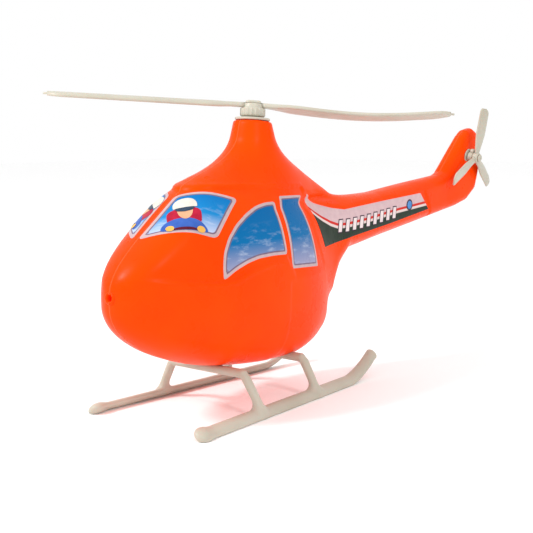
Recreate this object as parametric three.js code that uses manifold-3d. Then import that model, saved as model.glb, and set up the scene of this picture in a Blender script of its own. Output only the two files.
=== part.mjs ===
// Toy helicopter: a one-piece blow-moulded body shell with a free-spinning main rotor and tail rotor,
// a moulded undercarriage of two runners and two arches, and printed window and boom stickers.
// Millimetres, +Z up, nose towards -Y, port side towards +X, standing on the plane z = 0.
import * as THREE from 'three';
import { mergeVertices } from 'three/addons/utils/BufferGeometryUtils.js';
import Module from 'manifold-3d';

const wasm = await Module();
wasm.setup();

// ---------------------------------------------------------------- driving dimensions

const NOSE_Y = -196.85;            // the nose tip; every station below is measured aft from it

const CABIN = {
  station: 87,                    // widest section, aft of the nose
  front: 87,                      // half-length ahead of it
  rear: 91,                       // half-length behind it
  halfWidth: 35.5,
  waistZ: 68,                     // height of the widest point
  up: 64,                         // waist to the roof of the plain egg
  bellyFrontZ: 32,                // belly height under the nose
  bellyRearZ: 19.5,               // belly height at the back of the cabin
};
const WINDSCREEN = { footY: NOSE_Y + 17.5, footZ: 101, slope: THREE.MathUtils.degToRad(39.6), sweep: 0.006 };
const MAST = { station: 113.9, topZ: 163.4, topRadius: 11.2, tilt: THREE.MathUtils.degToRad(5) };
const WALL = 1.5;

const NOSE_HOLE = { radius: 1.7, z: 73 };
const MAST_BORE_RADIUS = 8.8;
const TAIL_BORE = { radius: 3.0, depth: 7 };
const TAIL_WASHER = { radius: 5.6, thickness: 1.1 };
const ROTOR_WASHER = { radius: 10, thickness: 1.5 };

const ROTOR = { radius: 121, chord: 13, thickness: 1.9, pitch: THREE.MathUtils.degToRad(11) };
const ROTOR_HEADING = THREE.MathUtils.degToRad(45.5);   // resting blade direction, from +X
const TAIL_ROTOR = { radius: 37.6, chord: 10.8, thickness: 1.7, pitch: THREE.MathUtils.degToRad(12) };
const TAIL_HUB = { x: 14.6, station: 362.2, z: 136.8 };
const TAIL_AXIS = new THREE.Vector3(0.986, 0.069, -0.149).normalize();
const TAIL_HEADING = THREE.MathUtils.degToRad(86.2);    // resting direction of its first blade, from aft
const TAIL_SEAT = 8.2;            // from the hub's centre back to the fin's side
const TAIL_ROTOR_HUB = { radius: 4.0, below: 2.2, above: 2.0 };
const AXLE_RADIUS = 1.8;

const RUNNER = {
  frontStation: 25.0,             // centre of the front knob
  upturnStation: 164,             // where the rear end starts to rise
  tipStation: 192.5,
  tipZ: 14.5,
  track: 77,                      // between the runners' centre lines at the front arch
  splay: 0.055,                   // each runner spreads this much per millimetre towards the nose
  halfLong: 4.1,                  // the section is an oval ...
  halfShort: 2.1,
  lean: THREE.MathUtils.degToRad(35),   // ... leaning down and outward
  soleFlat: 0.3,                  // how much of it the flat sole cuts away
  height: 6.3,
};
const ARCH = {
  footStations: [74, 128.6],
  shoulderStations: [72.2, 125],
  shoulderHalfWidth: 28,
  barZ: 23.8,
  halfThickness: 2.6,
};
const STICKER = { gap: 0.7, thickness: 0.4 };
const CLEARANCE = 0.3;            // between fixed pieces that touch in the real toy
const AXLE_PLAY = 0.1;            // radial play of each rotor on its axle

// ---------------------------------------------------------------- small helpers

const { min, max, abs, hypot, pow, sin, cos, PI } = Math;
const mix = (a, b, t) => a + (b - a) * t;
const clamp01 = (t) => min(1, max(0, t));
const smooth = (a, b, t) => {
  const s = clamp01((t - a) / (b - a));
  return s * s * (3 - 2 * s);
};
const smoothMin = (a, b, k) => {
  const h = max(k - abs(a - b), 0) / k;
  return min(a, b) - h * h * k / 4;
};
const smoothMax = (a, b, k) => -smoothMin(-a, -b, k);
const stationY = (station) => NOSE_Y + station;

// ---------------------------------------------------------------- the body as one smooth field
// Each function gives roughly the distance from a point to that form, negative inside.

const CABIN_Y = stationY(CABIN.station);
const MAST_Y = stationY(MAST.station);
const MAST_AXIS = [0, sin(MAST.tilt), cos(MAST.tilt)];

function cabinField(x, y, z) {
  const dy = y - CABIN_Y;
  const u = dy / (dy < 0 ? CABIN.front : CABIN.rear);
  const belly = mix(CABIN.bellyFrontZ, CABIN.bellyRearZ, clamp01((u + 1) / 1.5));
  const down = CABIN.waistZ - belly;
  const rearness = smooth(-0.6, 0.8, u);
  const power = z < CABIN.waistZ ? mix(2.1, 3.4, rearness) : 2.3;
  const v = (z - CABIN.waistZ) / (z < CABIN.waistZ ? down : CABIN.up);
  const w = x / CABIN.halfWidth;
  const planRadius = pow(pow(abs(w), 2.05) + pow(abs(u), 2.05), 1 / 2.05);
  const radius = pow(pow(planRadius, power) + pow(abs(v), power), 1 / power);
  return (radius - 1) * mix(CABIN.halfWidth, down, 0.5);
}

function windscreenPlane(x, y, z) {
  const away = (WINDSCREEN.footY - y) * sin(WINDSCREEN.slope);
  return away + (z - WINDSCREEN.footZ) * cos(WINDSCREEN.slope) + WINDSCREEN.sweep * x * x;
}

function pylonField(x, y, z) {
  const above = (y - MAST_Y) * MAST_AXIS[1] + (z - MAST.topZ) * MAST_AXIS[2];
  const drop = MAST.topZ - z;
  const t = max(drop, 0) / 38;
  const halfX = MAST.topRadius + 7 * t + 3 * pow(t, 2.5);
  const halfY = MAST.topRadius + 10 * t + 66 * smoothMax(t - 0.43, 0, 0.2);
  const narrow = 1 - 0.35 * smooth(6, 60, y - MAST_Y);
  const side = (hypot(x / (halfX * narrow), (y - MAST_Y) / halfY) - 1) * halfX * 0.8;
  return smoothMax(smoothMax(side, drop - 45, 4), above, 1.5);
}

// Side view of the boom and fin, as [station, height] corners.
const TAIL_OUTLINE = [
  [137, 115], [202, 115], [237, 116], [276, 120], [325, 124.5], [332, 127], [348, 142], [361, 154],
  [367, 158], [375, 159.5], [381, 157], [384, 149], [384.5, 138], [383, 125], [377.5, 111.5],
  [364.5, 103.5], [348, 100], [329, 97.5], [276, 90.5], [238, 85.5], [200, 80], [188, 70], [177, 55],
  [137, 48],
].map(([s, z]) => [stationY(s), z]);

function outlineDistance(outline, y, z) {
  let best = Infinity;
  let inside = false;
  for (let i = 0, j = outline.length - 1; i < outline.length; j = i++) {
    const [ay, az] = outline[i];
    const [by, bz] = outline[j];
    const ey = by - ay;
    const ez = bz - az;
    const t = clamp01(((y - ay) * ey + (z - az) * ez) / (ey * ey + ez * ez));
    best = min(best, hypot(y - ay - ey * t, z - az - ez * t));
    if ((az > z) !== (bz > z) && y < ay + (z - az) * ey / ez) inside = !inside;
  }
  return inside ? -best : best;
}

function tailField(x, y, z) {
  const station = y - NOSE_Y;
  const along = clamp01((station - 165) / 165);
  const up = clamp01((z - 122) / 38) * clamp01((station - 320) / 20);
  const halfWidth = mix(mix(17.5, 7.8, along), 5.4, up);
  const round = halfWidth * 0.86;
  const d = outlineDistance(TAIL_OUTLINE, y, z) + round;
  const e = abs(x) - halfWidth + round;
  return min(max(d, e), 0) + hypot(max(d, 0), max(e, 0)) - round;
}

function bodyField(x, y, z) {
  const cabin = smoothMin(cabinField(x, y, z), pylonField(x, y, z), 6);
  return smoothMin(smoothMax(cabin, windscreenPlane(x, y, z), 8), tailField(x, y, z), 8);
}

// ---------------------------------------------------------------- fields to solids

const BODY_LOW = [-42, NOSE_Y - 16, 4];     // a box round the body with room for a cell on each side
const BODY_HIGH = [42, NOSE_Y + 400, 180];

// Surface nets: one vertex in each grid cell that the surface crosses, moved onto the surface.
// The grid is even about x = 0, so both sides get the same facets.
function fieldSolid(field, cell) {
  const reach = (Math.ceil(BODY_HIGH[0] / cell) + 0.5) * cell;
  const low = [-reach, BODY_LOW[1], BODY_LOW[2]];
  const high = [reach, BODY_HIGH[1], BODY_HIGH[2]];
  const n = [0, 1, 2].map((k) => Math.ceil((high[k] - low[k]) / cell) + 1);
  const index = (i, j, k) => i + n[0] * (j + n[1] * k);
  const values = new Float64Array(n[0] * n[1] * n[2]);
  const at = (k, i) => low[k] + i * cell;
  for (let k = 0; k < n[2]; k++) {
    for (let j = 0; j < n[1]; j++) {
      for (let i = 0; i < n[0]; i++) values[index(i, j, k)] = field(at(0, i), at(1, j), at(2, k));
    }
  }
  const vertexOf = new Map();
  const points = [];
  const corners = [0, 1, 2, 3, 4, 5, 6, 7].map((c) => [c & 1, (c >> 1) & 1, c >> 2]);
  for (let k = 0; k + 1 < n[2]; k++) {
    for (let j = 0; j + 1 < n[1]; j++) {
      for (let i = 0; i + 1 < n[0]; i++) {
        const crossings = edgeCrossings(corners, (c) => values[index(i + c[0], j + c[1], k + c[2])]);
        if (!crossings.length) continue;
        const mean = [0, 1, 2].map((a) => crossings.reduce((s, p) => s + p[a], 0) / crossings.length);
        const start = [at(0, i + mean[0]), at(1, j + mean[1]), at(2, k + mean[2])];
        vertexOf.set(index(i, j, k), points.length);
        points.push(settle(field, start, cell * 0.5));
      }
    }
  }
  const triangles = [];
  const quad = (a, b, c, d, flip) => {
    const v = [a, b, c, d].map((key) => vertexOf.get(key));
    if (flip) v.reverse();
    triangles.push(v[0], v[1], v[2], v[0], v[2], v[3]);
  };
  for (let k = 1; k + 1 < n[2]; k++) {
    for (let j = 1; j + 1 < n[1]; j++) {
      for (let i = 1; i + 1 < n[0]; i++) {
        const here = values[index(i, j, k)] < 0;
        if (here !== values[index(i + 1, j, k)] < 0) {
          quad(index(i, j, k), index(i, j - 1, k), index(i, j - 1, k - 1), index(i, j, k - 1), !here);
        }
        if (here !== values[index(i, j + 1, k)] < 0) {
          quad(index(i, j, k), index(i, j, k - 1), index(i - 1, j, k - 1), index(i - 1, j, k), !here);
        }
        if (here !== values[index(i, j, k + 1)] < 0) {
          quad(index(i, j, k), index(i - 1, j, k), index(i - 1, j - 1, k), index(i, j - 1, k), !here);
        }
      }
    }
  }
  return new wasm.Manifold(new wasm.Mesh({
    numProp: 3,
    vertProperties: new Float32Array(points.flat()),
    triVerts: new Uint32Array(triangles),
  }));
}

function edgeCrossings(corners, value) {
  const found = [];
  for (let a = 0; a < 8; a++) {
    for (const bit of [1, 2, 4]) {
      if (a & bit) continue;
      const va = value(corners[a]);
      const vb = value(corners[a | bit]);
      if (va < 0 === vb < 0) continue;
      const t = va / (va - vb);
      found.push(corners[a].map((c, axis) => mix(c, corners[a | bit][axis], t)));
    }
  }
  return found;
}

// Newton steps along the gradient, never further than `reach` from the start.
function settle(field, start, reach) {
  const h = 0.05;
  let p = start.slice();
  for (let step = 0; step < 4; step++) {
    const f = field(...p);
    const g = [0, 1, 2].map((a) => {
      const q = p.slice();
      q[a] += h;
      return (field(...q) - f) / h;
    });
    const scale = f / max(1e-6, g[0] * g[0] + g[1] * g[1] + g[2] * g[2]);
    p = p.map((c, a) => c - g[a] * scale);
  }
  return p.map((c, a) => min(start[a] + reach, max(start[a] - reach, c)));
}

function solidOf(geometry, matrix = new THREE.Matrix4()) {
  const bare = geometry.clone().applyMatrix4(matrix);
  bare.deleteAttribute('normal');
  bare.deleteAttribute('uv');
  const merged = mergeVertices(bare, 1e-4);
  return new wasm.Manifold(new wasm.Mesh({
    numProp: 3,
    vertProperties: new Float32Array(merged.attributes.position.array),
    triVerts: new Uint32Array(merged.index.array),
  }));
}

function geometryOf(solid) {
  const mesh = solid.getMesh();
  const geometry = new THREE.BufferGeometry();
  geometry.setAttribute('position', new THREE.BufferAttribute(new Float32Array(mesh.vertProperties), 3));
  geometry.setIndex(new THREE.BufferAttribute(new Uint32Array(mesh.triVerts), 1));
  geometry.computeVertexNormals();
  return geometry;
}

// ---------------------------------------------------------------- body shell

const OUTER_CELL = 6.2;
const INNER_CELL = 9.2;
const HOLLOW_END = 330;           // the fin itself is pinched solid

function makeBodyShell() {
  const outer = fieldSolid(bodyField, OUTER_CELL);
  const innerField = (x, y, z) => max(bodyField(x, y, z) + WALL, y - stationY(HOLLOW_END));
  const hollow = fieldSolid(innerField, INNER_CELL);
  const mastBore = solidOf(new THREE.CylinderGeometry(MAST_BORE_RADIUS, MAST_BORE_RADIUS, 24, 24),
    placed([0, MAST_Y, MAST.topZ], new THREE.Vector3(...MAST_AXIS)));
  const tailBore = solidOf(new THREE.CylinderGeometry(TAIL_BORE.radius, TAIL_BORE.radius, 2 * TAIL_BORE.depth, 16),
    placed(tailSeatPoint(), TAIL_AXIS));
  const noseHole = solidOf(new THREE.CylinderGeometry(NOSE_HOLE.radius, NOSE_HOLE.radius, 12, 12),
    placed([0, NOSE_Y, NOSE_HOLE.z], new THREE.Vector3(0, 1, 0)));
  const spotRadius = TAIL_WASHER.radius + 0.5;
  const spotFace = new THREE.CylinderGeometry(spotRadius, spotRadius, 8, 20).translate(0, 4, 0);
  const tailSeat = solidOf(spotFace, placed(tailSeatPoint(), TAIL_AXIS));
  let shell = outer.subtract(hollow).subtract(mastBore).subtract(tailBore).subtract(tailSeat).subtract(noseHole);
  for (const station of ARCH.shoulderStations) {
    const saddle = new THREE.CylinderGeometry(ARCH.halfThickness + 0.5, ARCH.halfThickness + 0.5, 64, 12);
    shell = shell.subtract(solidOf(saddle, placed([0, stationY(station), ARCH.barZ], new THREE.Vector3(1, 0, 0))));
  }
  return shell;
}

// A matrix that moves a piece to `point` and turns its own Y axis to `axis`.
function placed(point, axis) {
  const turn = new THREE.Quaternion().setFromUnitVectors(new THREE.Vector3(0, 1, 0), axis);
  return new THREE.Matrix4().compose(new THREE.Vector3(...point), turn, new THREE.Vector3(1, 1, 1));
}

function tailSeatPoint() {
  const hub = new THREE.Vector3(TAIL_HUB.x, stationY(TAIL_HUB.station), TAIL_HUB.z);
  return hub.addScaledVector(TAIL_AXIS, -TAIL_SEAT).toArray();
}

// The tail axle's frame: local y along the axle, local x along the blade that points up.
function tailAxleFrame() {
  const aft = new THREE.Vector3(0, 0, 1).cross(TAIL_AXIS).normalize();
  const up = new THREE.Vector3().crossVectors(TAIL_AXIS, aft);
  const blade = aft.multiplyScalar(cos(TAIL_HEADING)).addScaledVector(up, sin(TAIL_HEADING));
  const third = new THREE.Vector3().crossVectors(blade, TAIL_AXIS);
  return new THREE.Matrix4().makeBasis(blade, TAIL_AXIS, third).setPosition(...tailSeatPoint());
}

// ---------------------------------------------------------------- lofts

// Joins closed rings of equal count, in order, and closes both ends with flat fans.
function loft(rings) {
  const count = rings[0].length;
  const points = rings.flat();
  const triangles = [];
  for (let r = 0; r + 1 < rings.length; r++) {
    for (let i = 0; i < count; i++) {
      const a = r * count + i;
      const b = r * count + (i + 1) % count;
      triangles.push(a, b, a + count, b, b + count, a + count);
    }
  }
  for (const [r, flip] of [[0, true], [rings.length - 1, false]]) {
    const middle = points.length;
    points.push([0, 1, 2].map((k) => rings[r].reduce((sum, p) => sum + p[k], 0) / count));
    for (let i = 0; i < count; i++) {
      const a = r * count + i;
      const b = r * count + (i + 1) % count;
      triangles.push(...(flip ? [middle, b, a] : [middle, a, b]));
    }
  }
  const geometry = new THREE.BufferGeometry();
  geometry.setAttribute('position', new THREE.BufferAttribute(new Float32Array(points.flat()), 3));
  geometry.setIndex(triangles);
  return geometry;
}

// One ring of a rounded bar: centre, the section's two directions and half sizes.
function barRing(centre, across, up, halfAcross, halfUp, sides = 12) {
  const ring = [];
  const peak = pow(cos(PI / sides), 0.7);
  for (let i = 0; i < sides; i++) {
    const angle = (i + 0.5) * 2 * PI / sides;
    const u = halfAcross * Math.sign(cos(angle)) * pow(abs(cos(angle)), 0.7) / peak;
    const v = halfUp * Math.sign(sin(angle)) * pow(abs(sin(angle)), 0.7) / peak;
    ring.push([0, 1, 2].map((k) => centre[k] + across[k] * u + up[k] * v));
  }
  return ring;
}

// ---------------------------------------------------------------- mast plug, main rotor and cap
// These three are drawn about their own axle, with y = 0 on the mast's rim.

const lathe = (profile, segments) => new THREE.LatheGeometry(
  profile.map(([r, y]) => new THREE.Vector2(r, y)), segments);

const HUB = { radius: 7.1, bottom: 2.5, top: 9.4 };
const BLADE_LEVEL = 8.0;          // mid-thickness of the blades at the hub
const CAP_HEIGHT = 2.7;
const AXLE_TOP = HUB.top + CLEARANCE + CAP_HEIGHT - 1;

const PLUG_DEPTH = 11;

function makeMastPlug() {
  const plugRadius = MAST_BORE_RADIUS - CLEARANCE;
  return solidOf(lathe([
    [0, -PLUG_DEPTH], [plugRadius, -PLUG_DEPTH], [plugRadius, 0], [AXLE_RADIUS, 0], [AXLE_RADIUS, AXLE_TOP],
    [0, AXLE_TOP],
  ], 24));
}

function makeRotorWasher() {
  const bore = AXLE_RADIUS + CLEARANCE;
  const foot = CLEARANCE;
  const top = foot + ROTOR_WASHER.thickness;
  return solidOf(lathe([
    [bore, foot], [ROTOR_WASHER.radius, foot], [ROTOR_WASHER.radius, top], [3.6, top], [3.6, top + 0.4],
    [bore, top + 0.4], [bore, foot],
  ], 24));
}

function bladeRing(along, half, thickness, pitch, lift, sides = 8) {
  const ring = [];
  for (let i = 0; i < sides; i++) {
    const angle = i * 2 * PI / sides;
    const chordwise = half * cos(angle);
    const camber = 0.08 * half * (1 - (chordwise / half) ** 2);
    const off = thickness / 2 * sin(angle) + camber;
    ring.push([along, lift + off * cos(pitch) + chordwise * sin(pitch), chordwise * cos(pitch) - off * sin(pitch)]);
  }
  return ring;
}

function makeBlade(rotor, start, level) {
  const rings = [];
  for (const t of [0, 0.05, 0.16, 0.35, 0.55, 0.75, 0.9, 0.97, 1]) {
    const grow = 0.42 + 0.58 * smooth(0, 0.2, t);
    const taper = 1 - 0.72 * pow(clamp01((t - 0.88) / 0.12), 1.6);
    const half = rotor.chord / 2 * grow * taper;
    const thickness = rotor.thickness * (1.25 - 0.5 * t);
    const pitch = rotor.pitch * smooth(0, 0.15, t);
    rings.push(bladeRing(mix(start, rotor.radius, t), half, thickness, pitch, level).reverse());
  }
  return solidOf(loft(rings));
}

function makeMainRotor() {
  const bore = AXLE_RADIUS + AXLE_PLAY;
  let rotor = solidOf(lathe([
    [bore, HUB.bottom], [HUB.radius, HUB.bottom], [HUB.radius, HUB.top], [bore, HUB.top], [bore, HUB.bottom],
  ], 24));
  for (const side of [0, PI]) {
    const turn = new THREE.Matrix4().makeRotationY(side);
    rotor = rotor.add(makeBlade(ROTOR, 4.5, BLADE_LEVEL).transform(turn.elements));
  }
  return rotor;
}

function makeRotorCap() {
  const foot = HUB.top + CLEARANCE;
  const block = solidOf(new THREE.BoxGeometry(10.2, CAP_HEIGHT, 8.2).translate(0, foot + CAP_HEIGHT / 2, 0));
  const socketRadius = AXLE_RADIUS + CLEARANCE;
  const depth = AXLE_TOP + CLEARANCE - foot;
  const socket = new THREE.CylinderGeometry(socketRadius, socketRadius, 2 * depth, 16).translate(0, foot, 0);
  return block.subtract(solidOf(socket));
}

// ---------------------------------------------------------------- tail bush, tail rotor and pin
// Drawn about the tail axle, with y = 0 on the fin's side and +y away from it.

const BUSH = {
  shank: 5,                       // how far it goes into the fin
  collar: 2 * CLEARANCE + TAIL_WASHER.thickness + 0.2,   // the collar sits on the washer
  collarRadius: 3.8,
  topRadius: 3.2,
  top: 5.6,
};
const LUG = { radius: 1.9, aside: 4.4, height: 4.2 };
const PIN_HEAD = { radius: 3.0, crownRadius: 1.8, edge: 0.9, shoulder: 1.6, height: 1.8 };

function makeTailBush() {
  const r = TAIL_BORE.radius - CLEARANCE;
  const pinBore = AXLE_RADIUS + AXLE_PLAY;
  const bush = solidOf(lathe([
    [pinBore, -BUSH.shank], [r, -BUSH.shank], [r, BUSH.collar], [BUSH.collarRadius, BUSH.collar],
    [BUSH.topRadius, BUSH.top], [pinBore, BUSH.top], [pinBore, -BUSH.shank],
  ], 20));
  const lugPlace = new THREE.Matrix4().makeTranslation(LUG.aside, LUG.height, 0);
  const lug = solidOf(new THREE.SphereGeometry(LUG.radius, 12, 8), lugPlace);
  return bush.add(lug);
}

function makeTailWasher() {
  const foot = 2 * CLEARANCE;
  const top = foot + TAIL_WASHER.thickness;
  const bore = TAIL_BORE.radius;
  return solidOf(lathe([
    [bore, foot], [TAIL_WASHER.radius, foot], [TAIL_WASHER.radius - 0.4, top], [bore, top], [bore, foot],
  ], 20));
}

function makeTailRotor() {
  const bore = AXLE_RADIUS + AXLE_PLAY;
  const low = TAIL_SEAT - TAIL_ROTOR_HUB.below;
  const high = TAIL_SEAT + TAIL_ROTOR_HUB.above;
  const { radius } = TAIL_ROTOR_HUB;
  let rotor = solidOf(lathe([[bore, low], [radius, low], [radius, high], [bore, high], [bore, low]], 20));
  for (let k = 0; k < 3; k++) {
    const turn = new THREE.Matrix4().makeRotationY(k * 2 * PI / 3);
    rotor = rotor.add(makeBlade(TAIL_ROTOR, 2.9, TAIL_SEAT - 0.3).transform(turn.elements));
  }
  return rotor;
}

function makeTailPin() {
  const head = TAIL_SEAT + TAIL_ROTOR_HUB.above + CLEARANCE;
  return solidOf(lathe([
    [0, -BUSH.shank], [AXLE_RADIUS, -BUSH.shank], [AXLE_RADIUS, head], [PIN_HEAD.radius, head],
    [PIN_HEAD.radius, head + PIN_HEAD.edge], [PIN_HEAD.crownRadius, head + PIN_HEAD.shoulder],
    [0, head + PIN_HEAD.height],
  ], 16));
}

// ---------------------------------------------------------------- undercarriage

const runnerX = (station) => RUNNER.track / 2 - RUNNER.splay * (station - ARCH.footStations[0]);

function makeRunner(side) {
  const halfHeight = hypot(RUNNER.halfLong * sin(RUNNER.lean), RUNNER.halfShort * cos(RUNNER.lean));
  const restZ = halfHeight - RUNNER.soleFlat;
  const stations = [
    [RUNNER.frontStation - 5.2, 0, 0.45], [RUNNER.frontStation - 4, 0, 0.9], [RUNNER.frontStation, 0, 1.1],
    [RUNNER.frontStation + 5, 0, 1], [RUNNER.upturnStation, 0, 1],
  ];
  const rise = RUNNER.tipZ - restZ;
  const length = RUNNER.tipStation - RUNNER.upturnStation;
  for (const t of [0.2, 0.4, 0.6, 0.8, 1]) {
    stations.push([RUNNER.upturnStation + length * t, rise * pow(t, 1.6), 1]);
  }
  stations.push([RUNNER.tipStation + 2.8, rise * 1.16, 0.7]);
  const long = [side * cos(RUNNER.lean), 0, -sin(RUNNER.lean)];
  const short = [side * sin(RUNNER.lean), 0, cos(RUNNER.lean)];
  const rings = stations.map(([station, lift, size]) => {
    const centre = [side * runnerX(station), stationY(station), restZ * max(1, size) + lift];
    const ring = barRing(centre, long, short, RUNNER.halfLong * size, RUNNER.halfShort * size);
    const flat = ring.map(([x, y, z]) => [x, y, max(z, 0)]);
    return side > 0 ? flat.reverse() : flat;
  });
  return solidOf(loft(rings));
}

// The arch runs foot, leg, shoulder, bar, shoulder, leg, foot, with rounded shoulders.
function makeArch(index) {
  const footStation = ARCH.footStations[index];
  const shoulder = [ARCH.shoulderHalfWidth, stationY(ARCH.shoulderStations[index]), ARCH.barZ];
  const foot = [runnerX(footStation), stationY(footStation), RUNNER.height + CLEARANCE];
  const bend = 7;
  const legLength = hypot(foot[0] - shoulder[0], foot[2] - shoulder[2]);
  const legDown = [0, 1, 2].map((k) => (foot[k] - shoulder[k]) / legLength);
  const half = ARCH.halfThickness;
  const slope = [legDown[0], 0, legDown[2]];
  const side = [];
  side.push([[0, shoulder[1], shoulder[2]], [1, 0, 0], half]);
  side.push([[shoulder[0] - bend, shoulder[1], shoulder[2]], [1, 0, 0], half]);
  for (const t of [0.25, 0.5, 0.75]) {
    const a = [shoulder[0] - bend * (1 - t) * (1 - t), shoulder[1], shoulder[2]];
    const point = a.map((c, k) => c + legDown[k] * bend * t * t);
    const tangent = [mix(1, slope[0], t), 0, mix(0, slope[2], t)];
    const norm = hypot(tangent[0], tangent[2]);
    side.push([point, tangent.map((c) => c / norm), half]);
  }
  for (const [t, width] of [[bend / legLength, half], [0.75, half * 1.1], [0.9, half * 1.35]]) {
    side.push([shoulder.map((c, k) => c + legDown[k] * legLength * t), slope, width]);
  }
  side.push([foot, [0, 0, -1], half * 1.9]);
  const mirrored = side.slice(1).reverse().map(([p, t, w]) => [[-p[0], p[1], p[2]], [t[0], 0, -t[2]], w]);
  const rings = [...mirrored, ...side].map(([point, tangent, width]) => (
    barRing(point, [0, 1, 0], [-tangent[2], 0, tangent[0]], width, half)));
  return solidOf(loft(rings));
}

// ---------------------------------------------------------------- stickers
// Each is a thin skin given by its top and bottom edges as port-side [x, station, z] points, moved
// along `toward` until it sits just off the body.

const STICKERS = {
  windscreen: {
    toward: [0.35, -0.62, 0.7],
    top: [[3, 48, 124], [13, 57, 123.5], [24, 71.5, 120.5]],
    bottom: [[3, 22, 103], [18, 34, 103], [29, 52, 102.5]],
    steps: 8,
  },
  quarter_window: {
    toward: [1, 0, 0.25],
    top: [[27, 55, 82], [27, 57, 95], [27, 69, 108], [27, 86, 116], [27, 103, 118]],
    bottom: [[34, 56, 80], [34, 66, 83.5], [34, 77, 86], [34, 91, 87.5], [34, 105, 88]],
    steps: 9,
  },
  rear_window: {
    toward: [1, 0, 0.25],
    top: [[24, 110, 119.5], [24, 127, 118.5]],
    bottom: [[34, 110.5, 79.5], [31, 139, 78]],
    steps: 7,
  },
  boom_stripe: {
    toward: [1, 0, 0],
    top: [[20, 148, 120.5], [16, 174, 111], [15, 188, 108], [12, 239, 111], [10, 287, 113.5]],
    bottom: [[22, 158, 87], [18, 176, 88], [16, 191, 89], [12, 244, 94], [10, 301, 101]],
    steps: 5,
  },
};

const sample = (edge, t) => {
  const f = t * (edge.length - 1);
  const i = min(edge.length - 2, Math.floor(f));
  return edge[i].map((c, k) => mix(c, edge[i + 1][k], f - i));
};

function restOnBody(point, toward, offset) {
  const at = (t) => bodyField(...point.map((c, k) => c + toward[k] * t)) - offset;
  let outside = 20;
  while (outside > -20 && at(outside - 0.5) > 0) outside -= 0.5;
  let inside = outside - 0.5;
  for (let i = 0; i < 20; i++) {
    const middle = (inside + outside) / 2;
    if (at(middle) > 0) outside = middle;
    else inside = middle;
  }
  return point.map((c, k) => c + toward[k] * outside);
}

function makeSticker({ toward, top, bottom, steps }, side) {
  const length = hypot(...toward);
  const outward = toward.map((c) => c / length);
  const across = (top.length - 1) * (top.length > 2 ? 3 : 4);
  const layers = [STICKER.gap, STICKER.gap + STICKER.thickness].map((offset) => {
    const rows = [];
    for (let j = 0; j <= steps; j++) {
      for (let i = 0; i <= across; i++) {
        const a = sample(bottom, i / across);
        const b = sample(top, i / across);
        const point = a.map((c, k) => mix(c, b[k], j / steps));
        const placedPoint = restOnBody([point[0], stationY(point[1]), point[2]], outward, offset);
        rows.push([side * placedPoint[0], placedPoint[1], placedPoint[2]]);
      }
    }
    return rows;
  });
  return skinSolid(layers, across + 1, steps + 1, side);
}

// Two parallel grids joined round their rim into one closed skin.
function skinSolid([under, over], columns, rows, side) {
  const points = [...under, ...over];
  const lift = under.length;
  const triangles = [];
  const quad = (a, b, c, d) => {
    triangles.push(...(side > 0 ? [a, b, c, a, c, d] : [a, c, b, a, d, c]));
  };
  for (let j = 0; j + 1 < rows; j++) {
    for (let i = 0; i + 1 < columns; i++) {
      const a = j * columns + i;
      quad(lift + a, lift + a + 1, lift + a + columns + 1, lift + a + columns);
      quad(a, a + columns, a + columns + 1, a + 1);
    }
  }
  const rim = [];
  for (let i = 0; i + 1 < columns; i++) rim.push(i);
  for (let j = 0; j + 1 < rows; j++) rim.push(j * columns + columns - 1);
  for (let i = columns - 1; i > 0; i--) rim.push((rows - 1) * columns + i);
  for (let j = rows - 1; j > 0; j--) rim.push(j * columns);
  rim.forEach((a, i) => {
    const b = rim[(i + 1) % rim.length];
    quad(a, b, lift + b, lift + a);
  });
  return new wasm.Manifold(new wasm.Mesh({
    numProp: 3,
    vertProperties: new Float32Array(points.flat()),
    triVerts: new Uint32Array(triangles),
  }));
}

// ---------------------------------------------------------------- materials and assembly

const plastic = (color, roughness) => new THREE.MeshStandardMaterial({ color, roughness, metalness: 0 });
const orange = plastic(0xff520a, 0.42);
const cream = plastic(0xd9d2c2, 0.4);
const skyPrint = plastic(0x3f8fd0, 0.35);
const stripePrint = plastic(0xd8d4cc, 0.35);

const helicopter = new THREE.Group();

function add(name, solid, material, matrix = new THREE.Matrix4()) {
  const mesh = new THREE.Mesh(geometryOf(solid), material);
  mesh.name = name;
  mesh.applyMatrix4(matrix);
  helicopter.add(mesh);
}

add('body_shell', makeBodyShell(), orange);

const mastFrame = placed([0, MAST_Y, MAST.topZ], new THREE.Vector3(...MAST_AXIS));
const rotorFrame = mastFrame.clone().multiply(new THREE.Matrix4().makeRotationY(ROTOR_HEADING));
add('mast_plug', makeMastPlug(), cream, mastFrame);
add('rotor_washer', makeRotorWasher(), cream, mastFrame);
add('main_rotor', makeMainRotor(), cream, rotorFrame);
add('rotor_cap', makeRotorCap(), cream, rotorFrame);

const tailFrame = tailAxleFrame();
add('tail_bush', makeTailBush(), cream, tailFrame);
add('tail_washer', makeTailWasher(), cream, tailFrame);
add('tail_rotor', makeTailRotor(), cream, tailFrame);
add('tail_pin', makeTailPin(), cream, tailFrame);

for (const [name, side] of [['port', 1], ['starboard', -1]]) {
  add(`${name}_runner`, makeRunner(side), cream);
}
['front', 'rear'].forEach((name, index) => add(`${name}_arch`, makeArch(index), cream));

for (const [name, sticker] of Object.entries(STICKERS)) {
  const material = name === 'boom_stripe' ? stripePrint : skyPrint;
  for (const [side, sign] of [['port', 1], ['starboard', -1]]) {
    add(`${side}_${name}`, makeSticker(sticker, sign), material);
  }
}

export default helicopter;
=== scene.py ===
"""Looks of the toy helicopter: fine surfaces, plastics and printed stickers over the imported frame.

Lengths in the tables are millimetres in the part's frame (nose towards -Y, port towards +X, +Z up).
A "station" is a distance aft of the nose tip. Meshes are written out in metres.
"""

import math

import bpy
import numpy as np
from mathutils import Matrix, Vector
from mathutils.geometry import delaunay_2d_cdt


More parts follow.
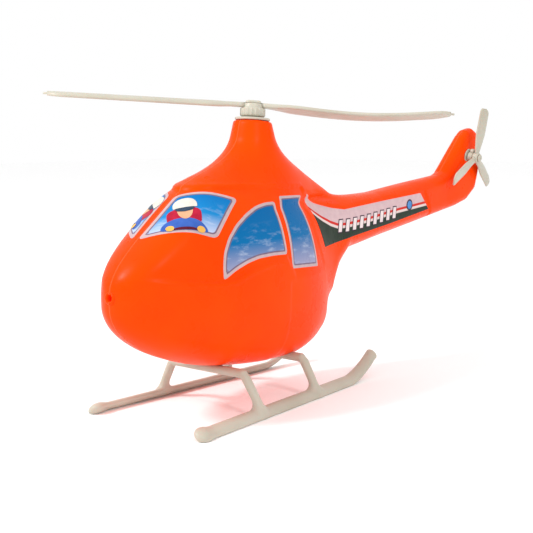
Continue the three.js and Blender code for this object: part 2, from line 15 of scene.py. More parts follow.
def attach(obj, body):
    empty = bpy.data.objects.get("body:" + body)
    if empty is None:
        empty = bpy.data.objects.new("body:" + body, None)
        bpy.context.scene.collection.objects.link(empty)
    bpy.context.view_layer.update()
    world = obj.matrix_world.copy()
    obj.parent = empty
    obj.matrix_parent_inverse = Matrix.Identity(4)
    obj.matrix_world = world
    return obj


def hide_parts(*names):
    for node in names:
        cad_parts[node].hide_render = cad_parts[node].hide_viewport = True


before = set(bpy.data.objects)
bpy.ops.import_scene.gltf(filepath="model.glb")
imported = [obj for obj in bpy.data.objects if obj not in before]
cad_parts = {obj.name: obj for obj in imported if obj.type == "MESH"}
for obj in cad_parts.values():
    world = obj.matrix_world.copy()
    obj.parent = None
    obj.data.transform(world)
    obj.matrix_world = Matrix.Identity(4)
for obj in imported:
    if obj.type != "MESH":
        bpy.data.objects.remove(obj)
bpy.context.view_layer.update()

MM = 0.001
NOSE_Y = -196.85

# ------------------------------------------------------------------ driving sizes

CABIN = {"station": 87, "front": 87, "rear": 91, "half_width": 35.5, "waist_z": 68, "up": 64,
         "belly_front_z": 32, "belly_rear_z": 19.5}
WINDSCREEN = {"foot_y": NOSE_Y + 17.5, "foot_z": 101, "slope": math.radians(39.6), "sweep": 0.006}
MAST = {"y": NOSE_Y + 113.9, "top_z": 163.4, "top_radius": 11.2, "tilt": math.radians(5)}
PYLON = {"reach": 38, "side_slope": 7, "side_flare": 3, "end_slope": 10, "end_flare": 66, "flare_from": 0.43,
         "end_drop": 45, "rear_pinch": 0.35}
NOSE_HOLE_Z = 73.0
BODY_CELL = 1.15

ROTOR_RADIUS = 121
ROTOR_HEADING = math.radians(45.5)
AXLE_RADIUS = 1.8
BORE = AXLE_RADIUS + 0.1      # each rotor has this much play on its axle
HUB_RADIUS = 7.0
BLADE_LEVEL = 8.9
SAG = 3.6                     # how far the port blade droops at mid-span ...
TIP_RISE = 1.7                # ... and how far its tip comes back up
BLADE = {"root": 4.9, "half_chord": 6.5, "thickness": 3.1, "thinning": 0.6, "pitch": math.radians(11)}
BLADE_NIB = ((2.4, 1.1), (0.4, 0.8), (0.0, 0.4))          # (distance in from the tip, half width)

TAIL_AXIS = Vector((0.986, 0.069, -0.149)).normalized()
TAIL_HUB = Vector((14.6, NOSE_Y + 362.2, 136.8))
TAIL_SEAT = 8.2
TAIL_HEADING = math.radians(86.2)
TAIL_RADIUS = 37.6
TAIL_BLADE = {"root": 2.9, "half_chord": 5.4, "thickness": 2.1, "thinning": 0.8, "pitch": math.radians(12)}
LUG_ASIDE = 4.4               # from the tail axle to the boss beside the bush

RUNNER = {"front": 25.0, "upturn": 164, "tip": 192.5, "tip_z": 14.5, "track": 77, "splay": 0.055,
          "long": 4.1, "short": 2.1, "lean": math.radians(35), "rest_z": 2.61, "end_cap": 3.6}
KNOB = {"long": 4.9, "short": 3.0, "along": 5.4}          # the runner's front knob, half sizes
UPTURN_POWER = 1.6            # how gently the runner's rear end starts to rise
ARCHES = [{"foot": 74, "shoulder": 72.2}, {"foot": 128.6, "shoulder": 125}]
SHOULDER_HALF_WIDTH = 28
BAR_Z = 23.8
BAR_HALF = 2.6
CARRIAGE_CELL = 0.9

FILM_LIFT = 0.12              # how far a sticker's face stands off the body ...
ART_LIFT = 0.22               # ... and the first ink of the art on it


# ------------------------------------------------------------------ small helpers

def mix(a, b, t):
    return a + (b - a) * t


def clamp01(t):
    return np.clip(t, 0.0, 1.0)


def smooth(a, b, t):
    s = clamp01((t - a) / (b - a))
    return s * s * (3 - 2 * s)


def smooth_min(a, b, k):
    h = np.maximum(k - np.abs(a - b), 0) / k
    return np.minimum(a, b) - h * h * k / 4


def smooth_max(a, b, k):
    return -smooth_min(-a, -b, k)


# ------------------------------------------------------------------ the body as one smooth field
# Each function gives roughly the distance from points to a form, negative inside.

def cabin_field(x, y, z):
    dy = y - (NOSE_Y + CABIN["station"])
    u = dy / np.where(dy < 0, CABIN["front"], CABIN["rear"])
    belly = mix(CABIN["belly_front_z"], CABIN["belly_rear_z"], clamp01((u + 1) / 1.5))
    down = CABIN["waist_z"] - belly
    low = z < CABIN["waist_z"]
    power = np.where(low, mix(2.1, 3.4, smooth(-0.6, 0.8, u)), 2.3)
    v = (z - CABIN["waist_z"]) / np.where(low, down, CABIN["up"])
    w = x / CABIN["half_width"]
    plan = (np.abs(w) ** 2.05 + np.abs(u) ** 2.05) ** (1 / 2.05)
    radius = (plan ** power + np.abs(v) ** power) ** (1 / power)
    return (radius - 1) * mix(CABIN["half_width"], down, 0.5)


def windscreen_plane(x, y, z):
    away = (WINDSCREEN["foot_y"] - y) * math.sin(WINDSCREEN["slope"])
    return away + (z - WINDSCREEN["foot_z"]) * math.cos(WINDSCREEN["slope"]) + WINDSCREEN["sweep"] * x * x


def pylon_field(x, y, z):
    above = (y - MAST["y"]) * math.sin(MAST["tilt"]) + (z - MAST["top_z"]) * math.cos(MAST["tilt"])
    drop = MAST["top_z"] - z
    t = np.maximum(drop, 0) / PYLON["reach"]
    flare = smooth_max(t - PYLON["flare_from"], 0, 0.2)
    half_x = MAST["top_radius"] + PYLON["side_slope"] * t + PYLON["side_flare"] * t ** 2.5
    half_y = MAST["top_radius"] + PYLON["end_slope"] * t + PYLON["end_flare"] * flare
    narrow = 1 - PYLON["rear_pinch"] * smooth(6, 60, y - MAST["y"])
    side = (np.hypot(x / (half_x * narrow), (y - MAST["y"]) / half_y) - 1) * half_x * 0.8
    return smooth_max(smooth_max(side, drop - PYLON["end_drop"], 4), above, 1.5)


# Side view of the boom and fin, as (station, height) corners.
TAIL_OUTLINE = [
    (137, 115), (202, 115), (237, 116), (276, 120), (325, 124.5), (332, 127), (348, 142), (361, 154),
    (367, 158), (375, 159.5), (381, 157), (384, 149), (384.5, 138), (383, 125), (377.5, 111.5),
    (364.5, 103.5), (348, 100), (329, 97.5), (276, 90.5), (238, 85.5), (200, 80), (188, 70), (177, 55),
    (137, 48)]


def outline_distance(outline, u, v):
    """Signed distance from (u, v) to a closed outline, negative inside."""
    best = np.full(np.shape(u), 1e9)
    inside = np.zeros(np.shape(u), bool)
    for i, (au, av) in enumerate(outline):
        bu, bv = outline[i - 1]
        eu, ev = bu - au, bv - av
        t = clamp01(((u - au) * eu + (v - av) * ev) / (eu * eu + ev * ev))
        best = np.minimum(best, np.hypot(u - au - eu * t, v - av - ev * t))
        if ev:
            inside ^= ((av > v) != (bv > v)) & (u < au + (v - av) * eu / ev)
    return np.where(inside, -best, best)


def tail_field(x, y, z):
    station = y - NOSE_Y
    along = clamp01((station - 165) / 165)
    up = clamp01((z - 122) / 38) * clamp01((station - 320) / 20)
    half_width = mix(mix(17.5, 7.8, along), 5.4, up)
    rounding = half_width * 0.86
    d = outline_distance(TAIL_OUTLINE, station, z) + rounding
    e = np.abs(x) - half_width + rounding
    return np.minimum(np.maximum(d, e), 0) + np.hypot(np.maximum(d, 0), np.maximum(e, 0)) - rounding


def body_field(x, y, z):
    cabin = smooth_min(cabin_field(x, y, z), pylon_field(x, y, z), 6)
    return smooth_min(smooth_max(cabin, windscreen_plane(x, y, z), 8), tail_field(x, y, z), 8)


# ------------------------------------------------------------------ relief moulded into the body

# Lines along the body, as (station, height).
WAIST_LINE = [(0, 83.7), (9, 82.8), (30, 80.2), (51, 78.1), (61, 79.2), (73, 83.0), (86, 85.1), (104, 87),
              (112, 76), (150, 74)]
EAVE_LINE = [(40, 125.6), (61, 127.6), (80, 126.9), (104, 126), (135, 125), (150, 124)]
RECESS_TOP_LINE = [(130, 122), (143, 121.5), (150, 119.2), (158, 115.4), (174, 111), (188, 109.2),
                   (239, 112), (300, 114.8)]
# Lines up the body, as (height, station).
CABIN_REAR_LINE = [(40, 160), (69, 156), (93, 145.5), (123, 138), (165, 135)]
RECESS_END_LINE = [(80, 316), (97, 306), (113, 296), (120, 292)]
DOOR_FRONT = 106.5
DOOR_TOP = 71.8


def line_at(line, t):
    return np.interp(t, [p[0] for p in line], [p[1] for p in line])


def relief(p):
    """How far the moulding stands out of the smooth form at each surface point, in millimetres."""
    x, y, z = p.T
    station = y - NOSE_Y
    waist = line_at(WAIST_LINE, station)
    eave = line_at(EAVE_LINE, station)
    rear = line_at(CABIN_REAR_LINE, z)
    soft = mix(1.2, 5.0, smooth(84, 112, station))
    on_cabin = smooth(-1.5, 1.5, rear - station)
    aft_of_nose = smooth(2, 34, station)
    belt = smooth(-soft, soft, z - waist) * smooth(-0.5, 0.5, eave - z) * on_cabin * aft_of_nose
    ridge = np.exp(-((z - waist + 1.6) / 1.5) ** 2) * smooth(118, 84, station) * aft_of_nose
    lip = np.exp(-(z - eave - 1.2) ** 2) * smooth(44, 52, station) * on_cabin
    door = smooth(-0.8, 0.8, station - DOOR_FRONT) * smooth(-0.8, 0.8, DOOR_TOP - z) * on_cabin
    under_recess_top = smooth(-1.6, 1.6, line_at(RECESS_TOP_LINE, station) - z)
    before_recess_end = smooth(-0.6, 0.6, line_at(RECESS_END_LINE, z) - station)
    boom = smooth(-0.9, 0.9, station - rear) * smooth(40, 52, z) * smooth(3, 7, np.abs(x))
    boom = boom * under_recess_top * before_recess_end
    inset = -outline_distance(TAIL_OUTLINE, station, z)
    fin = smooth(4.6, 6.2, inset) * smooth(326, 336, station) * smooth(118, 130, z)
    return -1.2 * belt + 0.35 * lip + 0.6 * ridge - 0.35 * door - 0.7 * boom + 0.8 * fin


# ------------------------------------------------------------------ undercarriage as one smooth field

def runner_x(station):
    return RUNNER["track"] / 2 - RUNNER["splay"] * (station - ARCHES[0]["foot"])


def runner_field(x, y, z):
    station = y - NOSE_Y
    rise = RUNNER["tip_z"] - RUNNER["rest_z"]
    run = RUNNER["tip"] - RUNNER["upturn"]
    on = np.clip(station, RUNNER["front"], RUNNER["tip"])
    t = clamp01((on - RUNNER["upturn"]) / run)
    centre_z = RUNNER["rest_z"] + rise * t ** UPTURN_POWER
    dx = np.abs(x) - runner_x(on)
    dz = z - centre_z
    lean = RUNNER["lean"]
    u = dx * math.cos(lean) - dz * math.sin(lean)
    v = dx * math.sin(lean) + dz * math.cos(lean)
    past = (station - on) / RUNNER["end_cap"]
    steepness = UPTURN_POWER * rise * t ** (UPTURN_POWER - 1) / run
    short = v / RUNNER["short"] / np.sqrt(1 + steepness ** 2)
    bar = np.sqrt((u / RUNNER["long"]) ** 2 + short ** 2 + past ** 2) - 1
    ahead = (station - RUNNER["front"]) / KNOB["along"]
    knob = np.sqrt((u / KNOB["long"]) ** 2 + (v / KNOB["short"]) ** 2 + ahead ** 2) - 1
    body = smooth_min(bar * 2.4, knob * 3.0, 1.6)
    return smooth_max(body, -z, 0.4)


def rod_field(p, a, b, ra, rb, squash):
    """A tapered rod from a to b, flattened by `squash` along Y."""
    axis = b - a
    t = clamp01(((p - a) @ axis) / (axis @ axis))
    d = p - a - t[..., None] * axis
    d[..., 1] *= squash
    return np.sqrt((d ** 2).sum(-1)) - mix(ra, rb, t)


def arch_field(x, y, z, arch):
    p = np.stack([np.abs(x), y, z], -1)
    shoulder_y = NOSE_Y + arch["shoulder"]
    foot_y = NOSE_Y + arch["foot"]
    foot_x = runner_x(arch["foot"])
    corner = np.array([SHOULDER_HALF_WIDTH - 1.0, shoulder_y, BAR_Z])
    outer = np.array([SHOULDER_HALF_WIDTH + 1.2, mix(shoulder_y, foot_y, 0.15), BAR_Z - 2.4])
    foot = np.array([foot_x + 0.4, foot_y, 4.6])
    bar = rod_field(p, np.array([0.0, shoulder_y, BAR_Z]), corner, BAR_HALF, BAR_HALF, 0.95)
    leg = rod_field(p, outer, foot, 2.5, 2.3, 0.88)
    return smooth_min(bar, leg, 1.6)


def carriage_field(x, y, z):
    d = runner_field(x, y, z)
    for arch in ARCHES:
        d = smooth_min(d, arch_field(x, y, z, arch), 4.6)
    return d


# ------------------------------------------------------------------ fields to meshes

CORNERS = [(i, j, k) for k in (0, 1) for j in (0, 1) for i in (0, 1)]


def gradient(field, p, h=0.05):
    rows = []
    for k in range(3):
        step = np.zeros(3)
        step[k] = h
        rows.append((field(*(p + step).T) - field(*(p - step).T)) / (2 * h))
    return np.stack(rows, -1)


def normals(field, p):
    g = gradient(field, p)
    return g / np.linalg.norm(g, axis=1, keepdims=True)


def settle(field, p, reach):
    """Newton steps on to the surface, never further than `reach` from the start."""
    start = p.copy()
    for _ in range(4):
        g = gradient(field, p)
        p = p - g * (field(*p.T) / np.maximum(1e-6, (g * g).sum(1)))[:, None]
        p = np.clip(p, start - reach, start + reach)
    return p


def surface_net(field, low, high, cell):
    """Points and quads of the zero surface: one point in each cell that the surface crosses."""
    axes = [np.arange(low[k], high[k] + cell, cell) for k in range(3)]
    gx, gy, gz = np.meshgrid(*axes, indexing="ij")
    values = field(gx, gy, gz)
    shape = np.array(values.shape) - 1
    corner = {c: values[tuple(slice(c[k], c[k] + shape[k]) for k in range(3))] for c in CORNERS}
    total = np.zeros(tuple(shape) + (3,))
    count = np.zeros(tuple(shape))
    for c in CORNERS:
        for axis in range(3):
            if c[axis]:
                continue
            e = tuple(1 if k == axis else c[k] for k in range(3))
            a, b = corner[c], corner[e]
            crossed = (a < 0) != (b < 0)
            t = np.where(crossed, a / np.where(crossed, a - b, 1), 0)
            count += crossed
            for k in range(3):
                total[..., k] += crossed * (c[k] + (t if k == axis else 0))
    used = count > 0
    index = np.full(tuple(shape), -1)
    index[used] = np.arange(used.sum())
    cells = np.argwhere(used)
    points = (cells + total[used] / count[used][:, None]) * cell + np.array(low)
    return settle(field, points, cell * 0.6), net_quads(values < 0, index)


def net_quads(inside, index):
    quads = []
    for axis in range(3):
        one, two = [(1, 2), (2, 0), (0, 1)][axis]
        here = inside[1:-1, 1:-1, 1:-1]
        ahead = [slice(1, -1)] * 3
        ahead[axis] = slice(2, None)
        cells = np.argwhere(here != inside[tuple(ahead)]) + 1
        corners = []
        for back_one, back_two in ((0, 0), (1, 0), (1, 1), (0, 1)):
            c = cells.copy()
            c[:, one] -= back_one
            c[:, two] -= back_two
            corners.append(index[tuple(c.T)])
        quad = np.stack(corners, 1)
        outward = here[tuple((cells - 1).T)]
        quad[~outward] = quad[~outward][:, ::-1]
        quads.append(quad)
    return np.concatenate(quads)


def link_mesh(name, points, faces, material, soft=True):
    mesh = bpy.data.meshes.new(name)
    mesh.from_pydata([tuple(p) for p in np.asarray(points) * MM], [], [tuple(map(int, f)) for f in faces])
    mesh.validate()
    mesh.update()
    if soft:
        mesh.polygons.foreach_set("use_smooth", [True] * len(mesh.polygons))
    mesh.materials.append(material)
    obj = bpy.data.objects.new(name, mesh)
    bpy.context.scene.collection.objects.link(obj)
    return obj


def ready(obj, body, slot, *nodes):
    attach(obj, body)
    if nodes:
        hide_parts(*nodes)
    return obj


# ------------------------------------------------------------------ procedural materials

class Nodes:
    """A short way to wire shader nodes."""

    def __init__(self, name):
        self.material = bpy.data.materials.new(name)
        self.material.use_nodes = True
        self.tree = self.material.node_tree
        self.shader = self.tree.nodes["Principled BSDF"]
        self.place = self.add("ShaderNodeTexCoord").outputs["Object"]

    def add(self, kind, inputs=None, **settings):
        node = self.tree.nodes.new(kind)
        for key, value in settings.items():
            setattr(node, key, value)
        for key, value in (inputs or {}).items():
            self.feed(node.inputs[key], value)
        return node

    def feed(self, socket, value):
        if isinstance(value, bpy.types.NodeSocket):
            self.tree.links.new(value, socket)
        else:
            socket.default_value = value

    def math(self, operation, a, b=0.0):
        return self.add("ShaderNodeMath", {0: a, 1: b}, operation=operation).outputs[0]

    def noise(self, scale, detail=3.0, roughness=0.55, place=None):
        inputs = {"Vector": place or self.place, "Scale": scale, "Detail": detail, "Roughness": roughness}
        return self.add("ShaderNodeTexNoise", inputs).outputs["Fac"]

    def stretched(self, scale):
        return self.add("ShaderNodeMapping", {"Vector": self.place, "Scale": scale}).outputs["Vector"]

    def span(self, value, low, high, to_low=0.0, to_high=1.0):
        inputs = {"Value": value, "From Min": low, "From Max": high, "To Min": to_low, "To Max": to_high}
        return self.add("ShaderNodeMapRange", inputs, clamp=True).outputs["Result"]

    def blend(self, factor, a, b):
        """Mixes two colours; a mix node keeps its colour sockets after those for numbers and vectors."""
        node = self.add("ShaderNodeMix", {0: factor}, data_type="RGBA")
        self.feed(node.inputs[6], a)
        self.feed(node.inputs[7], b)
        return node.outputs[2]

    def bump(self, height, distance, strength=1.0, under=None):
        inputs = {"Height": height, "Distance": distance, "Strength": strength}
        if under is not None:
            inputs["Normal"] = under
        return self.add("ShaderNodeBump", inputs).outputs["Normal"]

    def finish(self, color, roughness, normal, **constants):
        self.feed(self.shader.inputs["Base Color"], color)
        self.feed(self.shader.inputs["Roughness"], roughness)
        self.feed(self.shader.inputs["Normal"], normal)
        for key, value in constants.items():
            self.shader.inputs[key.replace("_", " ")].default_value = value
        return self.material


def rgb(red, green, blue):
    """A screen colour (0 to 255) as linear light."""
    out = []
    for c in (red / 255, green / 255, blue / 255):
        out.append(c / 12.92 if c <= 0.04045 else ((c + 0.055) / 1.055) ** 2.4)
    return (*out, 1.0)


SOFT_IOR = 1.2                # low, so that white surroundings do not veil the strong colours


def moulded_plastic(name, main, other, worn, shine):
    """Semi-gloss moulded plastic: cloudy colour, orange-peel skin, fine scuffs and paler worn edges."""
    n = Nodes(name)
    cloud = n.span(n.noise(28, 4), 0.35, 0.68)
    color = n.blend(cloud, main, other)
    edge = n.add("ShaderNodeNewGeometry").outputs["Pointiness"]
    rub = n.math("MULTIPLY", n.span(edge, 0.53, 0.62), n.span(n.noise(160, 4), 0.45, 0.7))
    color = n.blend(n.math("MULTIPLY", rub, 0.45), color, worn)
    scuff = n.span(n.noise(1.0, 5, 0.7, n.stretched((90, 700, 260))), 0.6, 0.72)
    smear = n.noise(55, 3)
    rough = n.span(smear, 0.3, 0.7, shine - 0.06, shine + 0.08)
    rough = n.math("ADD", rough, n.math("MULTIPLY", scuff, 0.12))
    peel = n.bump(n.noise(620, 2), 0.00012, 0.35)
    normal = n.bump(scuff, 0.00003, 0.4, peel)
    return n, color, rough, normal


def orange_plastic():
    """The body's plastic, with the mould's parting line down its middle: a small bumped ridge with a painted
    highlight along it.
    """
    n, color, rough, normal = moulded_plastic(
        "orange_plastic", rgb(252, 62, 0), rgb(255, 68, 0), rgb(255, 98, 26), 0.3)
    x = n.add("ShaderNodeSeparateXYZ", {"Vector": n.place}).outputs["X"]
    # Parting line: a real ridge (bump) plus a painted highlight, its colour made paler as if the ridge
    # caught the light.
    seam_ridge_and_painted_highlight = n.span(n.math("ABSOLUTE", x), 0.00015, 0.0006, 1.0, 0.0)
    color = n.blend(n.math("MULTIPLY", seam_ridge_and_painted_highlight, 0.18), color, rgb(255, 140, 90))
    normal = n.bump(seam_ridge_and_painted_highlight, 0.0004, 0.7, normal)
    return n.finish(color, rough, normal, IOR=SOFT_IOR, Specular_IOR_Level=0.2)


def cream_plastic():
    n, color, rough, normal = moulded_plastic(
        "cream_plastic", rgb(184, 179, 164), rgb(174, 168, 152), rgb(200, 196, 186), 0.38)
    return n.finish(color, rough, normal, Specular_IOR_Level=0.35,
                    Subsurface_Weight=0.08, Subsurface_Scale=0.003)


def sticker_place(n):
    """The sticker's own coordinates, where 1 is its height, and millimetres in from its rim."""
    flat = n.add("ShaderNodeAttribute", attribute_name="flat").outputs["Vector"]
    rim = n.add("ShaderNodeAttribute", attribute_name="rim").outputs["Fac"]
    return flat, rim


def print_finish(n, color, rim):
    """Glossy film: fine print grain, slight ripples, dust-dulled patches and a turned-down rim."""
    grain = n.span(n.noise(2600, 1), 0.3, 0.7, 0.0, 1.0)
    color = n.blend(n.math("MULTIPLY", grain, 0.04), color, (0.02, 0.02, 0.03, 1))
    rough = n.span(n.noise(120, 3), 0.3, 0.75, 0.24, 0.42)
    ripple = n.bump(n.noise(180, 2), 0.0002, 0.25)
    normal = n.bump(n.span(rim, 0.0, 0.5), 0.0001, 0.6, ripple)
    return n.finish(color, rough, normal, IOR=SOFT_IOR, Specular_IOR_Level=0.25)


def sky_print(name, top, middle, bottom):
    """A sky that pales downwards, with small clouds, inside a dark line and a pale frame."""
    n = Nodes(name)
    flat, rim = sticker_place(n)
    up = n.add("ShaderNodeSeparateXYZ", {"Vector": flat}).outputs["Y"]
    sky = n.blend(n.span(up, 0.45, 0.95), middle, top)
    sky = n.blend(n.span(up, 0.05, 0.45), bottom, sky)
    puff = n.add("ShaderNodeMapping", {"Vector": flat, "Scale": (2.3, 6.5, 1.0)}).outputs["Vector"]
    cloud = n.math("MULTIPLY", n.span(n.noise(1.6, 5, 0.6, puff), 0.52, 0.66), n.span(up, 0.75, 0.25))
    sky = n.blend(n.math("MULTIPLY", cloud, 0.4), sky, rgb(196, 204, 220))
    tone = n.noise(300, 2)
    frame_color = n.blend(n.span(tone, 0.4, 0.62), rgb(186, 164, 166), rgb(180, 157, 161))
    line = n.blend(n.span(tone, 0.4, 0.62), rgb(118, 98, 116), rgb(110, 91, 111))
    color = n.blend(n.span(rim, 2.3, 2.6), line, sky)
    color = n.blend(n.span(rim, 1.5, 1.8), frame_color, color)
    return print_finish(n, color, rim)


def flat_print(name, main, other):
    """One ink of the printed art, slightly uneven."""
    n = Nodes(name)
    _, rim = sticker_place(n)
    color = n.blend(n.span(n.noise(240, 3), 0.35, 0.65), main, other)
    return print_finish(n, color, rim)


def floor_material():
    n = Nodes("floor_paper")
    color = n.blend(n.noise(9, 3), rgb(252, 252, 252), rgb(254, 254, 254))
    return n.finish(color, 0.85, n.bump(n.noise(1400, 2), 0.0001, 0.2))


ORANGE = orange_plastic()
CREAM = cream_plastic()
SIDE_SKY = sky_print("side_sky", rgb(0, 94, 154), rgb(6, 102, 158), rgb(152, 150, 178))
FRONT_SKY = sky_print("front_sky", rgb(0, 104, 172), rgb(30, 128, 190), rgb(186, 196, 222))


# ------------------------------------------------------------------ body and undercarriage

def make_body():
    reach = (math.ceil(40 / BODY_CELL) + 0.5) * BODY_CELL
    low = (-reach, NOSE_Y - 4, 10)
    high = (reach, NOSE_Y + 390, 172)
    points, quads = surface_net(body_field, low, high, BODY_CELL)
    points = points + normals(body_field, points) * relief(points)[:, None]
    centre = points[quads].mean(1)
    at_hole = (np.hypot(centre[:, 0], centre[:, 2] - NOSE_HOLE_Z) < 2.4) & (centre[:, 1] < NOSE_Y + 10)
    obj = link_mesh("body_skin", points, quads[~at_hole], ORANGE)
    return ready(obj, "airframe", "orange_plastic", "body_shell")


def make_carriage():
    low = (-50 - CARRIAGE_CELL / 2, NOSE_Y + 12, -2)
    high = (50, NOSE_Y + 204, 32)
    points, quads = surface_net(carriage_field, low, high, CARRIAGE_CELL)
    obj = link_mesh("undercarriage", points, quads, CREAM)
    nodes = ("port_runner", "starboard_runner", "front_arch", "rear_arch")
    return ready(obj, "airframe", "cream_plastic", *nodes)


# ------------------------------------------------------------------ turned and lofted pieces
# Drawn about an axle: local Z along it, then moved by a matrix whose lengths are millimetres.

def placing(x, y, z, origin):
    """The matrix whose columns are three directions and a place."""
    columns = [tuple(v) for v in (x, y, z, origin)]
    return Matrix([*zip(*columns), (0, 0, 0, 1)])


def basis(origin, across, axle):
    """A frame with Z along `axle` and X as near to `across` as it can be."""
    side = axle.cross(across).normalized()
    return placing(side.cross(axle).normalized(), side, axle, origin)


MAST_AXLE = Vector((0, math.sin(MAST["tilt"]), math.cos(MAST["tilt"])))
MAST_AFT = Vector((0, math.cos(MAST["tilt"]), -math.sin(MAST["tilt"])))
BLADE_WAY = Vector((math.cos(ROTOR_HEADING), 0, 0)) + MAST_AFT * math.sin(ROTOR_HEADING)
ROTOR_PLACE = basis((0, MAST["y"], MAST["top_z"]), BLADE_WAY, MAST_AXLE)


def tail_place():
    """The tail axle's frame, from the fin's side, with X along the first blade."""
    aft = Vector((0, 0, 1)).cross(TAIL_AXIS).normalized()
    up = TAIL_AXIS.cross(aft)
    blade = aft * math.cos(TAIL_HEADING) + up * math.sin(TAIL_HEADING)
    return basis(TAIL_HUB - TAIL_AXIS * TAIL_SEAT, blade, TAIL_AXIS)


TAIL_PLACE = tail_place()


def moved(points, place):
    return np.array([place @ Vector(p) for p in points])


def ring_faces(rings, count):
    """Quads between closed rings of `count` points, numbered ring by ring."""
    faces = []
    for here in range(0, (rings - 1) * count, count):
        above = here + count
        for i in range(count):
            j = (i + 1) % count
            faces.append((here + i, here + j, above + j, above + i))
    return faces


def turned(profile, segments=48, ribs=0, rib_depth=0.0, rib_span=(0.0, 0.0)):
    """Points and faces of a (radius, height) profile turned about Z, with ribs between two heights."""
    points = []
    for radius, height in profile:
        ribbed = ribs and rib_span[0] <= height <= rib_span[1] and radius > 3
        for i in range(segments):
            angle = 2 * math.pi * i / segments
            wave = rib_depth * max(0.0, math.cos(ribs * angle)) if ribbed else 0.0
            points.append(((radius + wave) * math.cos(angle), (radius + wave) * math.sin(angle), height))
    return points, ring_faces(len(profile), segments)


def rounded(profile, cut=0.35):
    """Cuts each inner corner of a profile twice, so that edges catch the light."""
    for size in (cut, cut * 0.4):
        out = [profile[0]]
        for before, here, after in zip(profile, profile[1:], profile[2:]):
            for other in (before, after):
                length = math.dist(here, other)
                t = min(0.45, size / length) if length else 0
                out.append((mix(here[0], other[0], t), mix(here[1], other[1], t)))
        out.append(profile[-1])
        profile = out
    return profile


def joined(parts):
    """Several (points, faces) lists as one."""
    points, faces = [], []
    for part_points, part_faces in parts:
        start = len(points)
        points.extend(part_points)
        faces.extend(tuple(start + i for i in face) for face in part_faces)
    return points, faces


def loft(rings):
    """Points and faces of rings joined in order, closed at both ends."""
    count = len(rings[0])
    points = [p for ring in rings for p in ring]
    faces = ring_faces(len(rings), count)
    faces.append(tuple(reversed(range(count))))
    faces.append(tuple(range((len(rings) - 1) * count, len(rings) * count)))
    return points, faces


def signed_power(value, power):
    return math.copysign(abs(value) ** power, value)


def ellipse(cu, cv, ru, rv, power=1.0, count=28, start=0.0, sweep=360.0):
    """An oval; a part sweep gives a closed segment of it."""
    out = []
    for i in range(count if sweep >= 360 else count + 1):
        angle = math.radians(start + sweep * i / count)
        c, s = math.cos(angle), math.sin(angle)
        out.append((cu + ru * signed_power(c, power), cv + rv * signed_power(s, power)))
    return out


def blade_ring(reach, ahead, behind, thickness, pitch, lift, sides=20):
    """A lens-shaped section: `ahead` and `behind` are its leading and trailing half chords."""
    ring = []
    for i in range(sides):
        angle = 2 * math.pi * i / sides
        along = math.cos(angle)
        chord = along * (ahead if along > 0 else behind)
        off = thickness / 2 * signed_power(math.sin(angle), 0.45) + 0.4 * (1 - along * along)
        ring.append((reach, -chord * math.cos(pitch) + off * math.sin(pitch),
                     lift + chord * math.sin(pitch) + off * math.cos(pitch)))
    return ring


def turned_about_z(points, angle):
    c, s = math.cos(angle), math.sin(angle)
    return [(x * c - y * s, x * s + y * c, z) for x, y, z in points]


def main_blade(drooping):
    """One main blade, with the moulding nib at its tip."""
    rings = []
    for step in range(41):
        t = step / 40
        grow = 0.42 + 0.58 * float(smooth(0, 0.2, t))
        tip = max(0.0, (t - 0.93) / 0.07)
        half = BLADE["half_chord"] * grow * (1 - 0.7 * tip ** 1.7)
        droop = SAG * math.sin(math.pi * t ** 1.1) ** 1.2 - TIP_RISE * t
        lift = BLADE_LEVEL - (droop if drooping else 0)
        pitch = BLADE["pitch"] * float(smooth(0, 0.15, t))
        reach = mix(BLADE["root"], ROTOR_RADIUS - 2.5, t)
        rings.append(blade_ring(reach, half, half, BLADE["thickness"] - BLADE["thinning"] * t, pitch, lift))
    nib_level = BLADE_LEVEL + (TIP_RISE if drooping else 0)
    for inward, half in BLADE_NIB:
        rings.append(blade_ring(ROTOR_RADIUS - inward, half, half, 1.0, 0.0, nib_level))
    return loft(rings)


def make_main_rotor():
    outside = rounded([(6.4, 2.5), (HUB_RADIUS, 3.0), (HUB_RADIUS, 7.3), (6.7, 7.5), (5.7, 7.8),
                       (5.5, 10.2), (BORE + 0.2, 10.2)])
    profile = [(BORE, 2.5), *outside, (BORE, 10.0), (BORE, 2.5)]
    parts = [turned(profile, 144, ribs=18, rib_depth=0.45, rib_span=(2.9, 7.2))]
    for angle, drooping in ((0.0, True), (math.pi, False)):
        points, faces = main_blade(drooping)
        parts.append((turned_about_z(points, angle), faces))
    points, faces = joined(parts)
    obj = link_mesh("main_rotor_fine", moved(points, ROTOR_PLACE), faces, CREAM)
    return ready(obj, "main_rotor", "cream_plastic", "main_rotor")


def make_rotor_cap():
    """A rounded block on the axle's end, lying along the blades."""
    rings = []
    for height, grow in ((10.4, 0.97), (10.5, 1.0), (11.2, 0.97), (11.7, 0.9), (11.95, 0.78), (12.05, 0.5)):
        outline = ellipse(0, 0, 4.7 * grow, 3.8 * grow, power=0.45, count=40)
        rings.append([(x, y, height) for x, y in outline])
    points, faces = loft(rings)
    obj = link_mesh("rotor_cap_fine", moved(points, ROTOR_PLACE), faces, CREAM)
    return ready(obj, "airframe", "cream_plastic", "rotor_cap")


def make_turned(name, node, profile, place, lug=None):
    """A small turned piece of the airframe."""
    points, faces = turned(rounded(profile, 0.3))
    if lug:
        points, faces = joined([(points, faces), lug])
    return ready(link_mesh(name, moved(points, place), faces, CREAM), "airframe", "cream_plastic", node)


def bush_lug():
    """The round boss beside the tail bush, with a dimple in its face."""
    profile = rounded([(1.1, 2.4), (1.9, 3.0), (1.9, 5.4), (0.9, 5.9), (0.7, 5.0), (0.0, 4.8)], 0.4)
    points, faces = turned(profile, 24)
    return [(x + LUG_ASIDE, y, z) for x, y, z in points], faces


